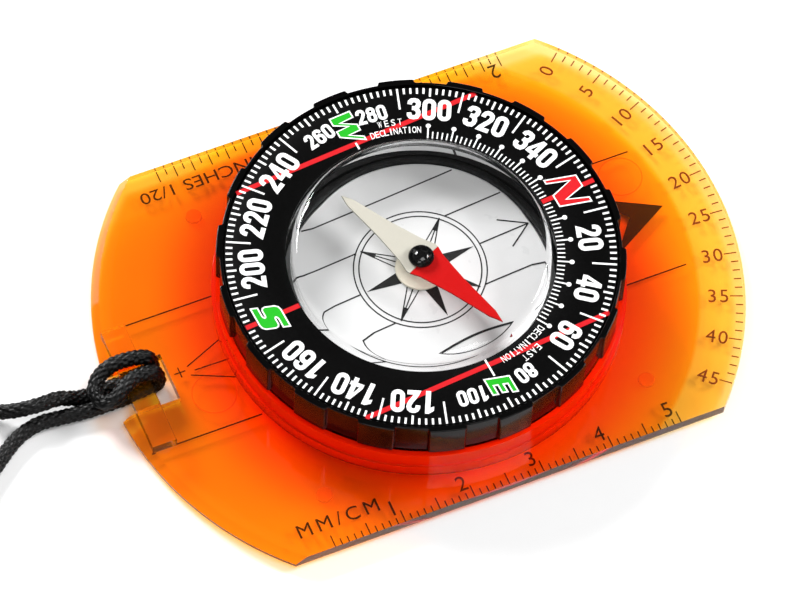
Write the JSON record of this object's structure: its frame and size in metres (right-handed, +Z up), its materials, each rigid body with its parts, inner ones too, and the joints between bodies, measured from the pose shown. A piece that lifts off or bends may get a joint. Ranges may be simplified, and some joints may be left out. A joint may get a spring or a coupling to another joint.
{
  "type": "baseplate compass",
  "caption": "Clear orange baseplate compass with map rulers, a lugged black turning dial round a liquid capsule with a pivoted needle, and a braided neck lanyard.",
  "frame": {"origin": "on the dial's axis, on the surface that the compass stands on", "axes": "+X along the baseplate's direction of travel, +Y to its left, +Z up through the dial"},
  "size_m": [0.1422, 0.0632, 0.0148],
  "materials": {
    "orange_acrylic": "clear tinted, polished",
    "orange_silicone": "clear, soft gloss",
    "black_abs": "moulded, glossy",
    "dial_black": "printed, satin",
    "clear_acrylic": "clear, polished",
    "chart_plastic": "printed, satin",
    "black_rubber": "matt",
    "cream_plastic": "moulded, satin",
    "pivot_steel": "turned",
    "needle_paint": "painted half red and half white",
    "ruby": "polished",
    "black_braid": "braided cord"
  },
  "bodies": {
    "baseplate": {"baseplate": "orange_acrylic", "foot_1": "orange_silicone", "foot_2": "orange_silicone", "foot_3": "orange_silicone", "foot_4": "orange_silicone", "lanyard_hitch": "black_braid", "lanyard_strand_upper": "black_braid", "lanyard_strand_lower": "black_braid", "lanyard_knot": "black_braid", "lanyard_coil": "black_braid"},
    "dial": {"bezel_ring": "black_abs", "retaining_ring": "black_abs", "graduated_dial": "dial_black", "capsule_cup": "clear_acrylic", "capsule_lens": "clear_acrylic", "compass_chart": "chart_plastic", "filler_plug": "black_rubber", "pivot_base": "cream_plastic", "pivot_post": "pivot_steel"},
    "needle": {"needle_blade": "needle_paint", "pivot_cap": "black_abs", "jewel_bearing": "ruby"}
  },
  "joints": [
    {"name": "dial_turn", "type": "hinge", "parent": "baseplate", "child": "dial", "pos_m": [0, 0, 0.0078], "axis": [0, 0, 1], "continuous": true},
    {"name": "needle_swing", "type": "hinge", "parent": "dial", "child": "needle", "pos_m": [0, 0, 0.0095], "axis": [0, 0, 1], "continuous": true}
  ]
}
